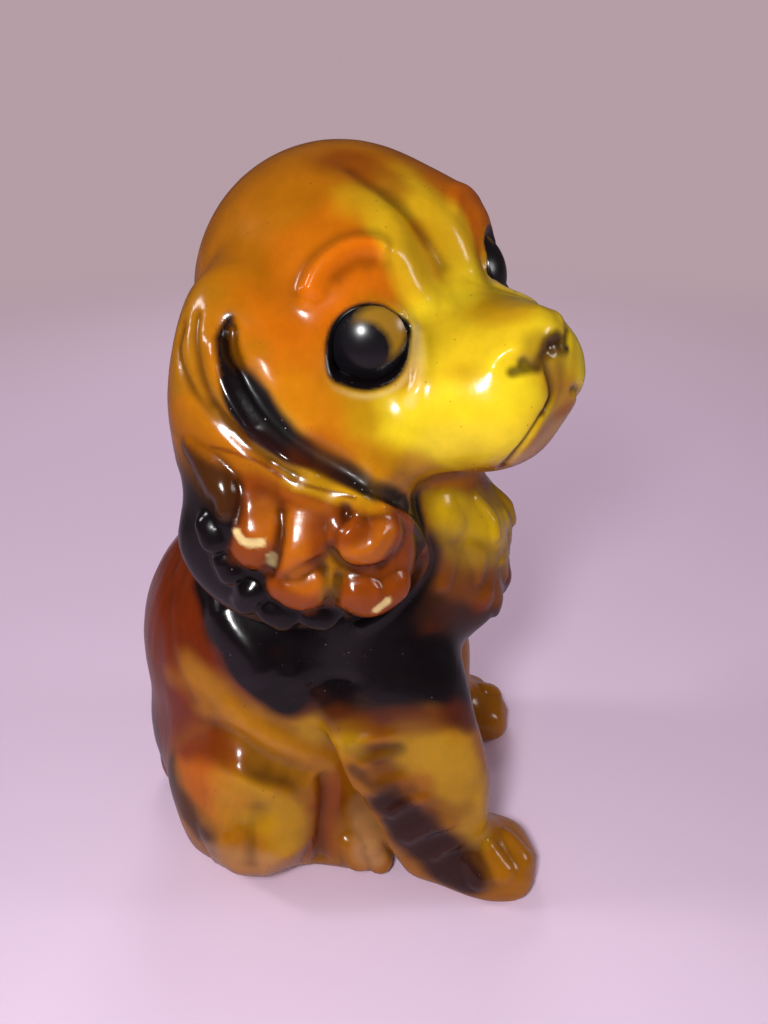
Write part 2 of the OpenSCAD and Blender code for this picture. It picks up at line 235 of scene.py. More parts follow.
class Clay:
    def __init__(self, mesh):
        self.count = len(mesh.vertices)
        spots = np.empty(self.count * 3, np.float32)
        mesh.vertices.foreach_get("co", spots)
        self.spots = spots.reshape(-1, 3).astype(float) / MM
        self.corners = np.empty(len(mesh.loops), np.int32)
        mesh.loops.foreach_get("vertex_index", self.corners)
        self.quads = self.corners.reshape(-1, 4)
        sides = np.empty(len(mesh.edges) * 2, np.int32)
        mesh.edges.foreach_get("vertices", sides)
        sides = sides.reshape(-1, 2)
        ends = np.concatenate([sides, sides[:, ::-1]])
        ends = ends[np.argsort(ends[:, 0], kind="stable")]
        self.mates = ends[:, 1]
        self.first = np.searchsorted(ends[:, 0], np.arange(self.count))
        self.mate_count = np.bincount(ends[:, 0], minlength=self.count)

    def mean_around(self, values):
        total = np.add.reduceat(values[self.mates], self.first)
        return total / (self.mate_count[:, None] if values.ndim > 1 else self.mate_count)

    def rub(self, rounds, share=1.0):
        for _ in range(rounds):
            self.spots += 0.5 * share * (self.mean_around(self.spots) - self.spots)
        self.spots[:, 2] = np.maximum(self.spots[:, 2], 0)

    def face_out(self):
        a, b, c, d = (self.spots[self.quads[:, k]] for k in range(4))
        face = np.cross(c - a, d - b)
        total = np.stack([np.bincount(self.corners, np.repeat(face[:, k], 4), self.count) for k in range(3)], 1)
        self.facing = total / np.linalg.norm(total, axis=1, keepdims=True)

    def back_to(self, mesh):
        mesh.vertices.foreach_set("co", (self.spots * MM).astype(np.float32).ravel())
        mesh.update()


NECK_H = 99
NEAR_EAR = (-22, 4, 87)
FAR_EAR = (19.94, -9.30, 87)
EAR_LEAN = 0.22
RUBBED_OFF = 0.25


def ramp(distance, width):
    return np.clip(distance / width, 0, 1)


# The flaps of the ears and the nape are rubbed longer than the rest, and what rubbing takes off is put back.
rough = Clay(model.data)
rough.rub(14)
x, y, z = rough.spots.T
flaps = ramp(NEAR_EAR[0] - 2 - x + EAR_LEAN * (z - NEAR_EAR[2]), 4) * (z < NECK_H + 1)
x, y, z = (rough.spots - FAR_EAR).T
flaps += ramp(0.906 * x - 0.423 * y - 2, 4) * (z < 13) * (z > -19)
rough.rub(40, np.clip(flaps, 0, 1)[:, None])
x, y, z = rough.spots.T
nape = ramp(10 - abs(0.946 * (z - NECK_H) - 0.326 * y), 6) * ramp(y - 5, 8) * ramp(23 - abs(x), 6)
rough.rub(220, nape[:, None])
rough.face_out()
rough.spots += rough.facing * RUBBED_OFF
rough.back_to(model.data)
modified(model, "SUBSURF", levels=1, render_levels=1)

clay = Clay(model.data)


def felt():
    clay.face_out()
    return BVHTree.FromPolygons(clay.spots.tolist(), clay.quads.tolist())


skin = felt()


# A stroke of a tool is given by the points of the photograph that it passes through.
# traced() carries it on to the clay, beside() measures each spot of the clay from it.
# A point that misses the figure goes to the spot nearest its line of sight.
def curved(points, step):
    points = np.asarray(points, float)
    line = []
    last = len(points) - 1
    for k in range(last):
        a, b, c, d = points[max(k - 1, 0)], points[k], points[k + 1], points[min(k + 2, last)]
        for t in np.arange(0, 1, 1 / max(1, round(np.linalg.norm(c - b) / step))):
            line.append(0.5 * (2 * b + (c - a) * t + (2 * a - 5 * b + 4 * c - d) * t ** 2
                               + (3 * b - a - 3 * c + d) * t ** 3))
    return np.array(line + [points[-1]])


HAIR = 0.05
FIGURE_AWAY = 170
PIXEL_STEP = 4
LEAP = 8


def seen(u, v, on=None):
    ray = ahead + rightward * ((u - PICTURE[0] / 2) / FOCAL_PX) + upward * ((PICTURE[1] / 2 - v) / FOCAL_PX)
    ray.normalize()
    lens = lens_place / MM
    spot, _, face, _ = skin.ray_cast(lens, ray)
    while spot is not None and on is not None and on[clay.quads[face, 0]] < 0.5:
        spot, _, face, _ = skin.ray_cast(spot + HAIR * ray, ray)
    if spot is None:
        spot = lens + FIGURE_AWAY * ray
        for _ in range(4):
            spot, _, face, _ = skin.find_nearest(lens + ray * (spot - lens).dot(ray))
        if on is not None and on[clay.quads[face, 0]] < 0.5:
            return None
    return np.array(spot)


def traced(*pixels, on=None):
    line = []
    for u, v in curved(pixels, PIXEL_STEP):
        spot = seen(u, v, on)
        if spot is not None and (not line or np.linalg.norm(line[-1] - spot) < LEAP):
            line.append(spot)
    return np.array(line if len(line) > 1 else line * 2)


def on_skin(path):
    return np.array([skin.find_nearest(Vector(spot))[0] for spot in path])


def laid(*spots):
    return on_skin(curved(spots, 1.5))


def beside(path, reach):
    spots = clay.spots
    near = np.flatnonzero(np.all((spots > path.min(0) - reach) & (spots < path.max(0) + reach), axis=1))
    lengths = np.linalg.norm(np.diff(path, axis=0), axis=1)
    marks = np.concatenate([[0], np.cumsum(lengths)])
    gap = np.full(len(near), np.inf)
    way = np.zeros(len(near))
    for a, b, mark, length in zip(path[:-1], path[1:], marks, lengths):
        t = np.clip((spots[near] - a) @ (b - a) / max(length, 1e-9) ** 2, 0, 1)
        there = np.linalg.norm(spots[near] - a - t[:, None] * (b - a), axis=1)
        closer = there < gap
        gap[closer] = there[closer]
        way[closer] = (mark + t * length)[closer]
    return near, gap, way, max(marks[-1], 1e-6)


def along(values, way, length):
    return np.interp(way / length, np.linspace(0, 1, np.size(values)), np.atleast_1d(values))


def ridge(path, width, height):
    near, gap, way, length = beside(path, 2.5 * np.max(width))
    half = along(width, way, length)
    ends = np.clip((np.minimum(way, length - way) + 0.4 * half) / (1.4 * half), 0, 1) if length > np.max(width) else 1
    clay.spots[near] += clay.facing[near] * (height * ends * np.exp(-(gap / half) ** 2))[:, None]


def groove(path, width, depth):
    ridge(path, width, -depth)


def locks(strands):
    lift = np.zeros(clay.count)
    for path, widths, heights in strands:
        near, gap, way, length = beside(path, max(widths))
        dome = np.clip(1 - (gap / along(widths, way, length)) ** 2, 0, 1) * along(heights, way, length)
        lift[near] = np.maximum(lift[near], dome)
    clay.spots += clay.facing * lift[:, None]


# Sprayed glazes: colours are laid on with a soft, slightly uneven edge, one over the other.
# Each spot of the clay carries its colour and how dull it is, where dust or bare clay takes the gloss away.
def tint(red, green, blue):
    share = np.array((red, green, blue)) / 255
    return np.where(share < 0.04045, share / 12.92, ((share + 0.055) / 1.055) ** 2.4)


AMBER = tint(168, 99, 6)
LEMON = tint(236, 207, 32)
OCHRE = tint(190, 146, 16)
OLIVE = tint(150, 100, 12)
ORANGE = tint(198, 98, 4)
BROWN = tint(92, 36, 8)
RUST = tint(112, 38, 8)
BLACK = tint(15, 10, 13)
PLUM = tint(36, 13, 18)
UMBER = tint(62, 32, 8)
IVORY = tint(222, 196, 132)
GREY = tint(112, 92, 78)
glaze = np.tile(AMBER, (clay.count, 1))
dull = np.zeros(clay.count)
taken = np.zeros(clay.count, bool)
x, y, z = clay.spots.T
drift = (np.sin(0.61 * x + 1.7 * np.sin(0.37 * y)) + np.sin(0.53 * y + 1.9 * np.sin(0.41 * z))
         + np.sin(0.57 * z + 1.6 * np.sin(0.43 * x))) / 3
UNEVEN = 0.3


def softened(mask, rounds=12):
    mask = mask.astype(float)
    for _ in range(rounds):
        mask = 0.5 * (mask + clay.mean_around(mask))
    return mask


def cover(colour, mask):
    glaze[...] += (colour - glaze) * mask[:, None]


def claim(*joint):
    mine = ~taken
    for normal, spot in joint:
        mine &= (clay.spots - spot) @ normal > 0
    taken[mine] = True
    return softened(mine)


def eased(share):
    return share * share * (3 - 2 * share)


def spray(colour, path, radius, soft, strength=1.0, on=None):
    near, gap, way, length = beside(path, (1 + UNEVEN) * (np.max(radius) + soft))
    edge = soft * (1 + UNEVEN * drift[near])
    load = strength * eased(ramp(along(radius, way, length) + edge - gap, soft))
    if on is not None:
        load = load * on[near]
    glaze[near] += (colour - glaze[near]) * load[:, None]


def dust(path, radius, soft, strength):
    near, gap, way, length = beside(path, np.max(radius) + soft)
    dull[near] = np.maximum(dull[near], strength * ramp(along(radius, way, length) + soft - gap, soft))


# Head: a hollow casting, stuck on at the sloping neck joint. The brows, lids, nostrils and lips are modelled
# with a small loop tool. Yellow is sprayed over the face, orange round the eyes, and dark brown into the nostrils.
NECK_SLOPE = math.radians(19)
HEAD_MID = np.array((3, -4.5, 120.0))
head_turns = np.array(Matrix.Rotation(math.radians(-45), 3, "Z") @ Matrix.Rotation(math.radians(-9), 3, "X")
                      @ Matrix.Rotation(math.radians(-14), 3, "Y"))
head_joint = (((0, -math.sin(NECK_SLOPE), math.cos(NECK_SLOPE)), (0, 0, NECK_H)),)
head = claim(*head_joint)
castings = {"head": (head_joint, "head_glaze")}


def both_cheeks(*pixels):
    path = traced(*pixels)
    local = (path - HEAD_MID) @ head_turns
    return path, on_skin((local * (-1, 1, 1)) @ head_turns.T + HEAD_MID)


EYE_R = 6.5
EYE_TURN = math.radians(40)


def eye_frame(name, side):
    axis = head_turns @ np.array((side * math.sin(EYE_TURN), -math.cos(EYE_TURN), 0.1))
    axis /= np.linalg.norm(axis)
    top = head_turns[:, 2] - axis * (head_turns[:, 2] @ axis)
    top /= np.linalg.norm(top)
    inner = np.cross(axis, top) * side
    spots = np.array([v.co for v in frame["nodes"][name].data.vertices]) / MM
    middle = sum(e * ((spots @ e).max() + (spots @ e).min()) / 2 for e in (top, inner))
    return middle + axis * (spots @ axis).min(), axis, top, inner


eyes = {"right_eye": eye_frame("right_eye", -1), "left_eye": eye_frame("left_eye", 1)}


def coats(both_sides, on, *layers):
    for colour, radius, soft, strength, pixels in layers:
        for path in both_sides(*pixels):
            spray(colour, path, radius, soft, strength, on)


coats(both_cheeks, head,
      (OCHRE, 6, 10, 0.8, ((310, 440), (380, 420), (450, 345), (540, 330))),
      (LEMON, 4, 9, 0.9, ((430, 440), (460, 430), (500, 420))),
      (LEMON, 2, 7, 0.5, ((430, 335), (470, 350), (530, 345))),
      (ORANGE, 2, 8, 0.5, ((285, 300), (300, 262), (345, 232), (390, 225))),
      (AMBER, 1.0, 5, 0.8, ((330, 446), (380, 466), (430, 480), (470, 488))),
      (ORANGE, 2, 7, 0.6, ((300, 330), (300, 380), (320, 420))),
      (ORANGE, 2.5, 4, 0.8, ((330, 290), (360, 268), (395, 275))),
      (LEMON, 1.5, 4.5, 0.6, ((412, 195), (452, 230), (466, 285))),
      (OCHRE, 2, 5, 0.7, ((365, 200), (395, 225), (415, 262))))
spray(tint(124, 50, 8), traced((338, 160), (362, 168), (386, 180)), 0.5, 6, 0.65, head)
# Brown along the furrow between the brows is painted shade in it.
spray(BROWN, traced((385, 195), (405, 214), (425, 240)), 0.1, 2.2, 0.4, head)


def smooth_cheeks(rounds, reach, *pixels):
    share = np.zeros(clay.count)
    for path in both_cheeks(*pixels):
        near, gap, _, _ = beside(path, reach)
        share[near] = np.maximum(share[near], ramp(reach - gap, 3))
    clay.rub(rounds, share[:, None])


# The furrow between the brows and the bridge of the muzzle are rubbed smooth before the tool goes over them.
smooth_cheeks(40, 6, (400, 205), (425, 240), (450, 282))
smooth_cheeks(120, 5, (392, 250), (410, 264), (428, 298))
for path, height in zip(both_cheeks((306, 300), (320, 270), (345, 250), (368, 246), (390, 252)), (1.9, 0.5)):
    ridge(path, 1.6, height)
for path, depth in zip(both_cheeks((332, 290), (344, 276), (360, 268), (380, 268)), (0.35, 0.15)):
    groove(path, 1.8, depth)
groove(traced((345, 165), (385, 195), (415, 222), (432, 245), (450, 276)), 1.6, 0.4)
for path in both_cheeks((402, 190), (438, 213), (461, 245), (474, 285)):
    ridge(path, 3.0, 0.8)
for path in both_cheeks((416, 330), (420, 355), (418, 384), (410, 402)):
    ridge(path, 1.2, 0.6)
    spray(IVORY, path, 0.2, 1.2, 0.4, head)
for path in both_cheeks((490, 374), (498, 358), (512, 350), (530, 349)):
    ridge(path, 1.3, 0.5)
for width, depth, radius, soft, strength, pixels in (
        (0.9, 0.7, 0.2, 1.0, 0.8, ((512, 372), (524, 370), (538, 369))),
        (1.0, 1.0, 0.4, 0.9, 0.9, ((524, 363), (527, 366))),
        (1.3, 0.7, 0.9, 1.6, 0.85, ((540, 364), (550, 351), (558, 341)))):
    for path in both_cheeks(*pixels):
        groove(path, width, depth)
        spray(UMBER, path, radius, soft, strength, head)
cleft = traced((547, 364), (552, 380), (553, 395), (545, 413))
groove(cleft, 0.9, 1.0)
spray(BROWN, cleft, 0.2, 1.0, 0.8, head)
spray(tint(118, 82, 22), traced((538, 352), (553, 360), (556, 386)), 0.8, 3.5, 0.55, head)
chin = on_skin(curved(((-6, -35, -21), (0, -39, -21), (6, -35, -21)), 1) @ head_turns.T + HEAD_MID)
spray(IVORY, chin, 1.0, 3.0, 0.35, head)
for path in both_cheeks((545, 412), (527, 440), (508, 462), (490, 478), (470, 487)):
    groove(path, 0.8, 0.9)
    spray(BROWN, path, 0.1, 0.8, 0.6, head)

# The lids are laid over the rims of the eye beads and end in an inner and an outer corner. A dark line is painted
# along them, broad on the outer side, and an ivory painted highlight runs along the lower lid.
BEAD_H = 4
DOME = 2.75
DOME_R = (EYE_R ** 2 + DOME ** 2) / (2 * DOME)
LID_R = 6.1
INNER_CORNER, OUTER_CORNER, CORNER_SPREAD = 5, 197, 18
for back, axis, top, inner in eyes.values():
    away = clay.spots - back
    out = np.hypot(away @ inner, away @ top)
    near = np.flatnonzero((out < 9) & (abs(away @ axis - BEAD_H) < 7) & (clay.facing @ axis > 0.1))
    away, out = away[near], out[near]
    high = away @ axis
    angle = np.degrees(np.arctan2(away @ top, away @ inner))
    inward = np.exp(-((angle - INNER_CORNER) / CORNER_SPREAD) ** 2)
    outward = np.exp(-(((angle + 360) % 360 - OUTER_CORNER) / CORNER_SPREAD) ** 2)
    rim = out - LID_R - 0.9 * inward - 0.8 * outward
    dome = BEAD_H - DOME_R + np.sqrt(DOME_R ** 2 - np.minimum(out, 8.9) ** 2)
    lid = eased(ramp(rim + 0.6, 1.1))
    clay.spots[near] += np.outer((1 - lid) * (dome - 0.9) + lid * np.maximum(high, dome + 0.45) - high, axis)
    line = 0.3 + 0.4 * (1 - np.cos(np.radians(angle - 20)))
    below = np.clip(-np.sin(np.radians(angle)) * 1.6 - 0.4, 0, 1)
    for colour, load in ((GREY, 0.6 * np.exp(-(rim - 1.2) ** 2 - ((angle + 15) / 25) ** 2)),
                         (IVORY, 0.4 * below * np.exp(-((rim - line - 0.9) / 0.4) ** 2)),
                         (BLACK, ramp(line + 0.5 - rim, 0.6))):
        glaze[near] += (colour - glaze[near]) * load[:, None]


# Ears: flaps that were pressed in their own moulds and stuck on under the neck joint, each a bunch of round curls
# inside a scalloped border. The curls are amber, the border is black, and the raised curls are chipped to the clay.
EAR_SWING = math.radians(25)
ear_foot = ((0, 0, 1), (0, 0, 66))
right_ear_joint = (((-1, 0, EAR_LEAN), NEAR_EAR), ear_foot)
left_ear_joint = (((math.cos(EAR_SWING), -math.sin(EAR_SWING), EAR_LEAN), FAR_EAR), ear_foot)
ears = claim(*right_ear_joint) + claim(*left_ear_joint)
castings["right_ear"] = (right_ear_joint, "ear_glaze")
castings["left_ear"] = (left_ear_joint, "ear_glaze")


def both_ears(*pixels):
    path = traced(*pixels)
    turn = np.array(Matrix.Rotation(-EAR_SWING, 3, "Z"))
    return path, on_skin(((path - NEAR_EAR) * (-1, 1, 1)) @ turn.T + FAR_EAR)


# A slot between each ear and its cheek is glazed black, and dust lies in it. The ear root behind it is combed.
# The photograph doesn't show the far ear. Its root is swelled, and its slot is worked deeper.
_, far_root = both_ears((200, 312), (195, 350), (206, 400), (245, 445))
ridge(far_root, 5, 2.2)
slots = both_ears((231, 322), (232, 350), (250, 388), (272, 420), (305, 448), (350, 472), (405, 503))
for path, depth in zip(slots, (1.8, 3.4)):
    groove(path, (0.8, 1.8, 2.4, 2.2, 2.0, 1.8, 1.5), depth)
for path in both_ears((218, 335), (217, 362), (226, 392), (243, 420), (256, 438)):
    ridge(path, 1.5, 0.9)
ridge(traced((282, 455), (300, 464), (320, 477)), 0.9, 0.7)
for path in both_ears((195, 300), (182, 340), (190, 390), (235, 440)):
    spray(OLIVE, path, 2.5, 4, 0.7)
# The ear root is combed, and the brown laid in each comb groove is painted shade.
for comb in (((184, 322), (178, 352), (189, 385), (210, 415), (240, 442), (276, 466)),
             ((198, 310), (195, 340), (204, 385), (225, 418), (249, 439)),
             ((206, 400), (235, 430), (262, 452), (300, 478))):
    for path in both_ears(*comb):
        groove(path, 1.0, 0.55)
        spray(BROWN, path, 0.1, 1.2, 0.45)
CHESTNUT = tint(130, 58, 6)
HONEY_HIGHLIGHT = tint(182, 100, 16)


def above_joint(below, over):
    normal, spot = head_joint[0]
    return eased(ramp((clay.spots - spot) @ normal + below, below + over))


cover(BLACK, ears)
cover(AMBER, ears * above_joint(9, 2) * np.clip(2 * clay.facing[:, 1] - 0.7, 0, 1))
for path in both_ears((186, 415), (222, 448), (262, 475)):
    spray(AMBER, path, 2.0, 2.2, 0.9)
for path in both_ears((229, 318), (226, 346), (240, 385), (261, 419), (285, 442), (318, 460), (360, 479), (405, 503)):
    spray(BLACK, path, (0.2, 1.6, 3.0, 2.8, 1.4, 1.2, 1.3, 1.2), 1.3)
for path in both_ears((250, 370), (270, 412), (300, 443), (350, 472), (405, 503)):
    dust(path, 1.2, 1.5, 0.8)
    spray(tint(74, 52, 40), path, 0.4, 1.3, 0.6)
for pixels in (((225, 440), (262, 465), (300, 490), (335, 520), (338, 560)),
               ((330, 488), (372, 508), (400, 535), (404, 570), (392, 600))):
    for path in both_ears(*pixels):
        ridge(path, 4.0, 0.7)
        spray(CHESTNUT, path, 2.8, 1.8, 1.0, ears)
for pixels in (((270, 480), (280, 520), (274, 560)), ((310, 560), (345, 570), (385, 566))):
    for path in both_ears(*pixels):
        spray(CHESTNUT, path, 2.4, 1.8, 1.0, ears)
for path in both_ears((332, 560), (334, 580), (332, 594)):
    spray(OLIVE, path, 1.2, 2.0, 0.8, ears)
for path in both_ears((244, 486), (275, 500), (312, 508), (348, 510), (388, 520)):
    groove(path, 5, 1.8)
curls = (
    (CHESTNUT, (3.0, 4.0, 4.8, 3.8), (0.0, 0.6, 1.9, 1.9), ((258, 488), (260, 513), (258, 536), (251, 552))),
    (CHESTNUT, (2.8, 4.0, 4.8, 3.6), (0.0, 0.6, 2.0, 2.0), ((304, 508), (303, 528), (299, 548), (288, 566))),
    (CHESTNUT, (3.8, 4.8, 3.8), (1.6, 2.0, 1.6), ((286, 586), (302, 592), (318, 586))),
    (CHESTNUT, (3.8, 5.2, 4.0), (1.4, 2.0, 1.6), ((348, 538), (367, 547), (388, 536))),
    (CHESTNUT, (4.0, 5.0, 4.2), (1.6, 2.0, 1.6), ((353, 596), (374, 602), (394, 590))),
    (OLIVE, (0.8, 1.3, 1.0), (0.5, 0.9, 0.6), ((330, 572), (332, 584), (330, 594))),
    (UMBER, (2.0, 3.2, 3.0, 1.6), (0.5, 1.2, 1.6, 1.0), ((190, 448), (208, 470), (222, 492), (224, 510))),
    (BLACK, (2.6, 3.0), (1.8, 2.0), ((206, 526), (212, 540))),
    (BLACK, (2.6, 3.0), (1.8, 2.0), ((224, 562), (230, 572))),
    (BLACK, (3.0, 3.0), (2.2, 2.2), ((250, 592), (246, 602))),
    (BLACK, (3.2, 3.4), (2.2, 2.2), ((272, 612), (282, 618))),
    (BLACK, (3.0, 3.2), (2.2, 2.2), ((312, 616), (324, 618))))
strands = []
for colour, widths, heights, pixels in curls:
    for path in both_ears(*pixels):
        strands.append((path, widths, heights))
        if colour is not BLACK:
            spray(colour, path, 0.7 * np.array(widths), 1.6, 1.0, ears)
locks(strands)
skin = felt()
# The creases between the curls are cut, and the brown laid in them is painted shade.
for depth, pixels in ((0.7, ((280, 506), (281, 530), (278, 556), (268, 578))),
                      (0.5, ((283, 582), (298, 570), (314, 562), (325, 556))),
                      (0.7, ((332, 548), (338, 560), (350, 568), (370, 569), (386, 564))),
                      (0.6, ((346, 506), (346, 516), (338, 530), (332, 548))),
                      (0.6, ((322, 566), (327, 582), (328, 604))),
                      (0.6, ((338, 572), (337, 590), (334, 604))),
                      (0.5, ((238, 478), (240, 500), (236, 530)))):
    for path in both_ears(*pixels):
        groove(path, 0.9, depth)
        spray(BROWN, path, 0.1, 1.3, 0.5, ears)
for pixels in (((336, 538), (347, 532), (356, 521)), ((346, 555), (365, 552), (380, 538), (384, 530)),
               ((358, 579), (372, 585), (379, 598)), ((350, 597), (360, 590))):
    for path in both_ears(*pixels):
        ridge(path, 1.0, 0.45)
for path in both_ears((376, 505), (405, 518), (420, 536), (426, 557), (419, 575), (402, 599), (381, 617), (357, 630)):
    ridge(path, 1.0, 0.8)
# The pit at the eye of the curl is darkened with brown as painted shade.
for path in both_ears((345, 509), (346, 514)):
    groove(path, 1.3, 0.6)
    spray(BROWN, path, 0.5, 1.2, 0.7)
# Honey spots on the tops of the curls are painted highlights.
for pixels in (((294, 520), (294, 558)), ((266, 512), (262, 536)), ((346, 556), (376, 548), (386, 530)),
               ((300, 580), (308, 582)), ((235, 448), (280, 475), (320, 495))):
    for path in both_ears(*pixels):
        spray(HONEY_HIGHLIGHT, path, 0.8, 2.6, 0.6, ears)
for pixels in (((236, 533), (242, 541), (252, 544), (261, 543)), ((271, 556), (271, 563)), ((377, 610), (387, 602))):
    chip = traced(*pixels)
    groove(chip, 0.8, 0.35)
    spray(IVORY, chip, 0.5, 0.6, 0.95)
    dust(chip, 0.5, 0.5, 1.0)
spray(BROWN, traced((211, 446), (257, 461), (290, 480), (354, 498)), 0.05, 0.5, 0.7)


# Tail: a short solid casting, stuck on so that it lies round the far side of the rump.
# It is sprayed rust, with a darker brown along it.
tail_joint = (((0.5, 0.8, -0.6), (15, 33, 10)),)
tail = claim(*tail_joint)
castings["tail"] = (tail_joint, "tail_glaze")
cover(RUST, tail)
spray(BROWN, laid((30, 36, 6), (34, 28, 5), (36, 20, 5)), 2, 6, 0.7, tail)


# Legs: four castings, mirror images in pairs. The forelegs carry ridged feathering behind, the haunches are full
# and creased, and the toes are raised. The glaze is thin and pale on the paws.
legs = np.zeros(clay.count)
for side, name in ((-1, "right"), (1, "left")):
    fore_joint = (((side, -0.35, -0.3), (16 * side, -14, 28)), ((0, -1, 0.42), (0, -14, 5)))
    hind_joint = (((side, 0, -0.35), (19 * side, 14, 24)), ((0, 1, -0.42), (0, -14, 5)))
    legs += claim(*fore_joint) + claim(*hind_joint)
    castings[name + "_foreleg"] = (fore_joint, "leg_glaze")
    castings[name + "_hind_leg"] = (hind_joint, "haunch_glaze")
body = softened(~taken)
torso = np.minimum(body + legs, 1)
cover(RUST, torso)
behind = ramp(clay.spots[:, 1] - 2, 8)
# The head's amber and the body's rust run into each other over the nape.
run = above_joint(16, 10)
cover(RUST, behind * head * (1 - run))
cover(AMBER, behind * torso * run)
cover(tint(154, 95, 9), softened(legs > 0.5, 160))


def both_flanks(*pixels):
    path = traced(*pixels, on=torso)
    return path, on_skin(path * (-1, 1, 1))


def ridges(both_sides, *strokes):
    for width, height, pixels in strokes:
        for path in both_sides(*pixels):
            ridge(path, width, height)


ridges(both_flanks,
       (1.6, 0.7, ((400, 735), (375, 738), (352, 744))),
       (1.5, 0.9, ((396, 752), (370, 760), (355, 769))),
       (1.8, 0.8, ((412, 776), (388, 783), (366, 793))),
       (1.6, 1.0, ((432, 796), (405, 804), (385, 816))),
       (1.9, 1.0, ((456, 820), (425, 829), (400, 841))),
       (1.7, 0.8, ((464, 840), (444, 848), (428, 860))),
       (2.0, 0.5, ((478, 790), (480, 812), (484, 830))))
strands = []
for pixels in (((468, 862), (480, 880)), ((490, 850), (502, 872)), ((510, 838), (526, 858))):
    for path in both_flanks(*pixels):
        strands.append((path, (2.4, 3.0), (0.9, 0.9)))
locks(strands)
ridges(both_flanks,
       (8.0, 2.6, ((205, 778), (235, 785), (272, 798))),
       (9.0, 6.5, ((205, 828), (250, 842), (305, 838))),
       (5.5, 3.2, ((368, 826), (369, 852))))
skin = felt()
strands = []
for pixels in (((350, 844), (358, 864)), ((374, 850), (384, 866))):
    for path in both_flanks(*pixels):
        strands.append((path, (2.6, 3.2), (1.0, 1.2)))
locks(strands)
ridges(both_flanks,
       (2.6, 1.0, ((226, 760), (250, 780), (278, 798))),
       (5.0, 1.5, ((222, 832), (230, 856))),
       (5.5, 1.5, ((286, 836), (289, 860))),
       (3.0, -0.8, ((255, 765), (280, 772), (302, 778))),
       (2.6, -1.3, ((259, 800), (252, 838), (252, 874))),
       (2.2, -0.6, ((222, 800), (238, 820), (246, 838))),
       (1.9, -1.8, ((322, 772), (327, 795), (323, 834), (320, 864))),
       (1.4, 0.7, ((341, 749), (349, 773), (358, 790))))
BEIGE = tint(172, 126, 80)
coats(both_flanks, legs,
      (OCHRE, 3.5, 5, 0.6, ((420, 748), (450, 760), (465, 790), (482, 820))),
      (BROWN, 1.0, 4, 0.5, ((380, 775), (420, 800), (455, 815))),
      (PLUM, (1.5, 3.5, 4.0, 3.0), 4.5, 0.95, ((385, 805), (415, 830), (445, 860), (465, 880))),
      (UMBER, (0.8, 1.4, 0.6), 2.4, 0.7, ((350, 746), (372, 753), (396, 748))),
      (UMBER, 0.8, 2.4, 0.7, ((356, 770), (372, 786), (390, 790))),
      (tint(186, 88, 6), 2.5, 5, 0.7, ((192, 765), (205, 785), (222, 795))),
      (OCHRE, 3.0, 6, 0.5, ((240, 800), (275, 815), (290, 830))),
      (RUST, 2.5, 4, 0.8, ((185, 738), (215, 738), (240, 748))),
      # Plum down the outer edge of the haunch is painted shade.
      (PLUM, 1.5, 4, 0.8, ((168, 748), (174, 785), (188, 815), (206, 838))),
      # Umber under the overhanging flank lock is a painted shadow.
      (UMBER, 1.8, 3.5, 0.9, ((260, 764), (282, 772), (302, 780))),
      (RUST, (2.0, 2.4, 1.4, 0.4), 5, 0.75, ((322, 752), (328, 790), (324, 830), (320, 856))),
      (BEIGE, 1.0, 4, 0.6, ((215, 855), (250, 864), (290, 868), (315, 866))),
      (BEIGE, 3.0, 3, 0.75, ((362, 805), (374, 830), (372, 850))))


# Body: a hollow casting of chest, back and rump, open only at the vent. The back is combed, the chest is curled.
# Black is sprayed over the shoulders, rust brown over the back, and yellow olive on the chest.
ridges(both_flanks,
       (3.8, 2.0, ((216, 594), (230, 625), (252, 655), (266, 688))),
       (2.4, 1.0, ((290, 662), (296, 692))),
       (1.5, -0.6, ((308, 693), (329, 680), (355, 682))))
# The comb grooves on the flanks and the back get brown laid in them as painted shade.
near_comb = np.array(((170, 520), (152, 580), (148, 640), (156, 700)), float)
far_comb = np.array(((205, 590), (210, 640), (240, 695), (300, 735)), float)
for step in np.linspace(0, 1, 8):
    comb = near_comb + (far_comb - near_comb) * step
    for path in both_flanks(*comb):
        groove(path, 1.6, 0.3)
        spray(BROWN, path, 0.1, 1.6, 0.45)
for step in np.linspace(-1, 1, 13):
    path = laid((13 * step, 30, 90), (17 * step + math.sin(9 * step), 36, 68), (20 * step, 40, 45),
                (21 * step, 42, 22), (17 * step, 42, 6))
    groove(path, 1.9, 0.2)
    spray(BROWN, path, 0.1, 1.6, 0.35, torso)
# Brown in the crease under the flank lock is painted shade.
for path in both_flanks((204, 721), (240, 738), (262, 755), (316, 775)):
    groove(path, 2.2, 0.8)
    spray(BROWN, path, 0.2, 2.0, 0.5)
for path in both_flanks((220, 700), (253, 729), (294, 751), (316, 765)):
    ridge(path, 2.6, 0.8)
for path in both_flanks((186, 676), (220, 700), (253, 729), (294, 751), (316, 765)):
    spray(tint(176, 116, 20), path, (0.2, 1.5, 2.5, 2.5, 2.5), 7, 0.75, torso)
for path in both_flanks((320, 730), (345, 735)):
    spray(OCHRE, path, 2.0, 5, 0.6, torso)
strands = []
for across, high in ((0, 84), (-6, 74), (6, 74), (0, 66), (-11, 66), (11, 66)):
    strands.append((laid((across, -34, high), (across, -36, high - 8)), (2.0, 3.2, 1.4), (0.4, 0.8, 0.9)))
for widths, pixels in (((3.0, 3.4), ((448, 510), (455, 528))),
                       ((1.6, 2.2, 1.6), ((478, 499), (493, 518), (496, 536))),
                       ((1.6, 2.2, 1.4), ((505, 512), (512, 541), (501, 562))),
                       ((1.5, 2.4, 1.4), ((470, 546), (480, 562), (478, 580))),
                       ((2.0, 3.0, 2.0), ((440, 545), (447, 565), (444, 585)))):
    for path in both_flanks(*pixels):
        strands.append((path, widths, (0.4, 0.7)))
